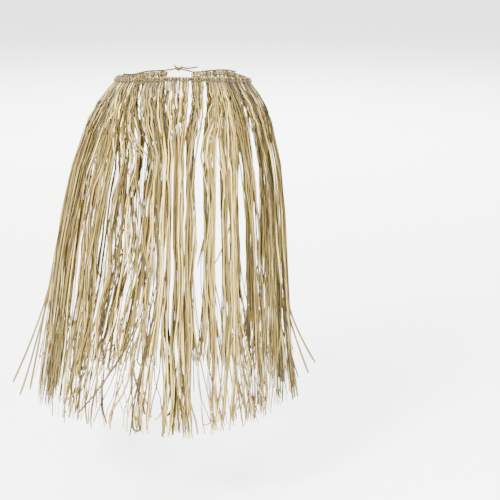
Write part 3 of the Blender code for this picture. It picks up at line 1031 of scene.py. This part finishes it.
def legWidth(habit, drop):
    tip = min((habit["length"] - drop) / legWork["narrowOver"], 1.0)
    narrowed = 1 - legWork["narrowing"] + legWork["narrowing"] * tip ** legWork["narrowCurve"]
    return habit["width"] * narrowed * (1 + legWork["hemWider"] * setIn("hemWidth", drop))


def legTwist(habit, drop):
    free = setIn("twist", drop)
    hanging = free * (wave(habit["twist"], drop) + habit["twistLean"])
    return hanging + habit["tilt"] * setIn("tilt", drop) * (1 - free)


# Painted shade under the fold, inside the cord and over the top of the legs, with a tone that varies at
# random at the top, and darker towards the hem
def legShade(habit, side, drop):
    under = "outerShade" if side > 0 else "innerShade"
    shade = legWork[under] * (1 - setIn(under, drop))
    shade += (habit["top"] + legWork["topShade"]) * (1 - setIn("topShade", drop))
    return shade + legWork["lowShade"] * setIn("lowShade", drop)


# The rows that a leg follows from the cord down, side 1 outside the cord and -1 inside it
def legRows(hank, lock, spot, side, habit):
    length, stray = habit["length"], habit["stray"]
    rows = []
    drops = legDrops(length)
    for drop in drops:
        point, out = formAt(legTurn(hank, lock, spot, side, habit, drop), drop)
        right = Vector((-out.y, out.x, 0))
        calm = setIn("waves", drop) * between(drop, *legWork["calm"])
        late = max(drop / length - legWork["flickFrom"], 0)
        aside = calm * (wave(habit["crinkle"], drop) + wave(habit["weave"], drop))
        aside += lock["free"] * habit["flick"] * late ** legWork["flickCurve"] / legWork["flickOver"]
        offset = legOffset(lock, spot, side, habit, drop) + calm * wave(habit["ripple"], drop)
        if stray and drop > stray["leave"]:
            gone = (drop - stray["leave"]) / (length - stray["leave"])
            gone **= stray.get("bow", strayWork["bow"])
            offset += stray["out"] * gone
            aside += stray["aside"] * gone
        grow = setIn("width", drop)
        rows.append(
            {
                "point": point + out * (offset * side) + right * aside,
                "facing": out * side,
                "grow": grow,
                "width": legWidth(habit, drop),
                "curl": habit["curl"] * grow + legWork["leastCurl"],
                "twist": legTwist(habit, drop),
                "shade": legShade(habit, side, drop),
            }
        )
    if habit["hook"]:
        step = (drops[-1] - drops[-2]) * dice.uniform(*legWork["hookSteps"])
        curlTip(rows, side, habit["hook"], step)
    return rows


# Bends the tip of a leg aside
def curlTip(rows, side, hook, step):
    count = legWork["tipRows"]
    before, base = rows[-count - 2 : -count]
    last, way = base["point"], (base["point"] - before["point"]).normalized()
    facing = base["facing"] * side
    right = Vector((-facing.y, facing.x, 0))
    for k in range(count):
        bend = hook * ((k + 1) / count) ** legWork["hookCurve"]
        last = last + (way * math.cos(bend) + right * math.sin(bend)) * step
        rows[k - count]["point"] = last


# The rows of the fold, from the outer leg over the cord to the inner one
def foldRows(turn, over, wide):
    point, out = formAt(turn, 0.0)
    plain = {"grow": 0.0, "width": wide, "twist": 0.0}
    # painted shade over the whole fold
    plain["curl"], plain["shade"] = legWork["leastCurl"], legWork["outerShade"]
    rows = []
    for k in range(1, grass["foldSteps"]):
        angle = math.pi * k / grass["foldSteps"]
        way = out * math.cos(angle) + Vector((0, 0, math.sin(angle)))
        rows.append({"point": point + way * over, "facing": way, **plain})
    return rows


# Strip k of a hank: its legs, its fold, and its tone, in which the habit of the inner leg counts
def foldedStrip(hank, locks, k, count):
    spot = (k + 0.5) / count - 0.5 + dice.uniform(-grass["scatter"], grass["scatter"])
    lock = locks[0 if spot < 0 else 1]
    at = hank["turn"] + hank["width"] * spot
    facing = math.degrees(math.asin(math.sin(math.radians(at))))
    stray = strayAt(at, hank["width"] / count * strayWork["reach"])
    legs = []
    for side in (1, -1):
        astray = stray is not None and side > 0
        length = legLength(at, spot, side)
        habit = makeHabit(stray["length"] if astray else length)
        habit["home"] = at
        habit["cross"] = (-1 if k % 2 else 1) * dice.uniform(*grass["crossing"]) / count
        habit["twistLean"] += math.radians(grass["facingShare"] * facing)
        if astray:
            makeStray(habit, stray, facing)
        legs.append(legRows(hank, lock, spot, side, habit))
    over = foldOffset + dice.uniform(*grass["foldOffsets"])
    wide = math.radians(hank["width"]) * grass["foldRadius"] / count * dice.uniform(*grass["foldWidths"])
    rows = [*reversed(legs[0]), *foldRows(at, over, wide), *legs[1]]
    widths = [wide + (row["width"] - wide) * row["grow"] for row in rows]
    twists = [row["twist"] * (-1 if j < len(legs[0]) else 1) for j, row in enumerate(rows)]
    tone = hank["tone"] + lock["tone"] + habit["tone"]
    tone = tone + dice.choice(grass["tones"][k % 2]) + dice.gauss(0, grass["toneSpread"])
    darkest, palest = grass["toneRange"]
    tone = stray.get("tone", strayWork["tone"]) if stray else min(max(tone, darkest), palest)
    return layStrip(
        [tuple(row["point"]) for row in rows], [tuple(row["facing"]) for row in rows], widths,
        [row["curl"] for row in rows], twists, [tone + row["shade"] for row in rows], grass["toneDrift"],
    )


def hankStrips(turn, width):
    drop = grass["stretchDrop"]
    hanging = (parted(turn + width / 2, drop) - parted(turn - width / 2, drop) + 180) % 360 - 180
    count = grass["strips"] * min(max(hanging / width, grass["fewest"]), grass["most"])
    if grass["middle"]["turns"][0] < turn < grass["middle"]["turns"][1]:
        count *= grass["middle"]["times"]
    count = round(count)
    lean, tone = dice.gauss(0, grass["lean"]), dice.gauss(*grass["tone"])
    hand, share = handAt(turn)
    # painted shade, darker towards the sides
    tone -= grass["sideShade"][hand] * share
    hank = {"turn": turn, "width": width, "lean": lean, "tone": tone}
    locks = [makeLock(middle) for middle in lockWork["places"]]
    return [foldedStrip(hank, locks, k, count) for k in range(count)]


for number, (turn, width) in enumerate(hankSpans(), start=1):
    piece = joined(hankStrips(turn, width), f"grass{number:02d}")
    dress(piece, raffia, "raffia", f"hank_{number:02d}", sharp=35)
print("grass hung")

for blank, _ in blanks.values():
    bpy.data.objects.remove(blank, do_unlink=True)

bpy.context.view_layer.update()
